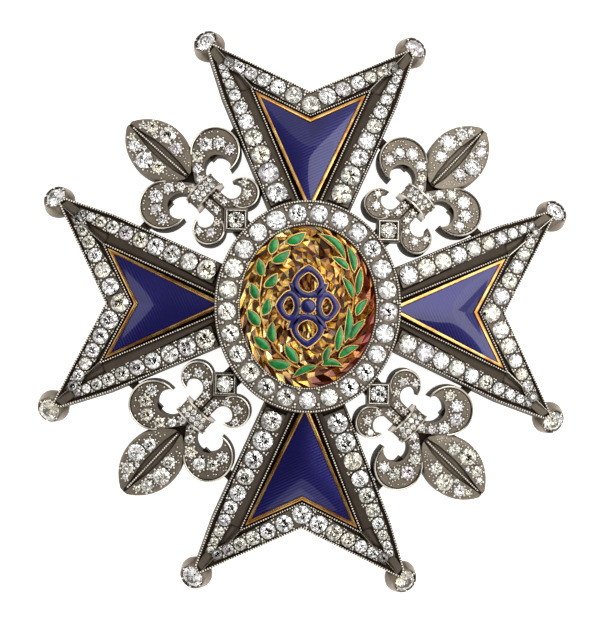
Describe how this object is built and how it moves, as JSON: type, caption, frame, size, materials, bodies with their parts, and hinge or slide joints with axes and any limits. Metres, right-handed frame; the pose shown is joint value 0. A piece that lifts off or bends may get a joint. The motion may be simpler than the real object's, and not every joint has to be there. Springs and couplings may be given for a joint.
{
  "type": "breast star",
  "caption": "Jewelled breast star: a silver cross of forked arms with enamel panels, fleurs-de-lis between them and an oval medallion, with a brooch pin behind.",
  "frame": {"origin": "centre of the base, on the surface that the star lies on, midway between its points", "axes": "+Z out of the front, +Y up as it is worn, +X to the viewer's right"},
  "size_m": [0.0738, 0.0782, 0.0111],
  "materials": {
    "silver": "oxidised in the recesses, polished on the edges",
    "diamond": "cut and polished",
    "gold": "polished",
    "blue_enamel": "translucent, glossy",
    "gold_ground": "engraved under clear enamel",
    "green_enamel": "glossy",
    "pin_silver": "drawn and polished"
  },
  "bodies": {
    "root": {"arm_top": "silver", "arm_right": "silver", "arm_bottom": "silver", "arm_left": "silver", "arm_stones_top": "diamond", "arm_stones_right": "diamond", "arm_stones_bottom": "diamond", "arm_stones_left": "diamond", "panel_frame_top": "gold", "panel_frame_right": "gold", "panel_frame_bottom": "gold", "panel_frame_left": "gold", "panel_enamel_top": "blue_enamel", "panel_enamel_right": "blue_enamel", "panel_enamel_bottom": "blue_enamel", "panel_enamel_left": "blue_enamel", "fleur_ne": "silver", "fleur_nw": "silver", "fleur_sw": "silver", "fleur_se": "silver", "fleur_stones_ne": "diamond", "fleur_stones_nw": "diamond", "fleur_stones_sw": "diamond", "fleur_stones_se": "diamond", "square_stone_ne": "diamond", "square_stone_nw": "diamond", "square_stone_sw": "diamond", "square_stone_se": "diamond", "tip_stone_1": "diamond", "tip_stone_2": "diamond", "tip_stone_3": "diamond", "tip_stone_4": "diamond", "tip_stone_5": "diamond", "tip_stone_6": "diamond", "tip_stone_7": "diamond", "tip_stone_8": "diamond", "medallion_ring": "silver", "ring_stones": "diamond", "medallion_ground": "gold_ground", "laurel_spray": "green_enamel", "palm_spray": "green_enamel", "centre_rosette": "blue_enamel", "back_plate": "silver", "brooch_pin": "pin_silver"}
  },
  "joints": []
}
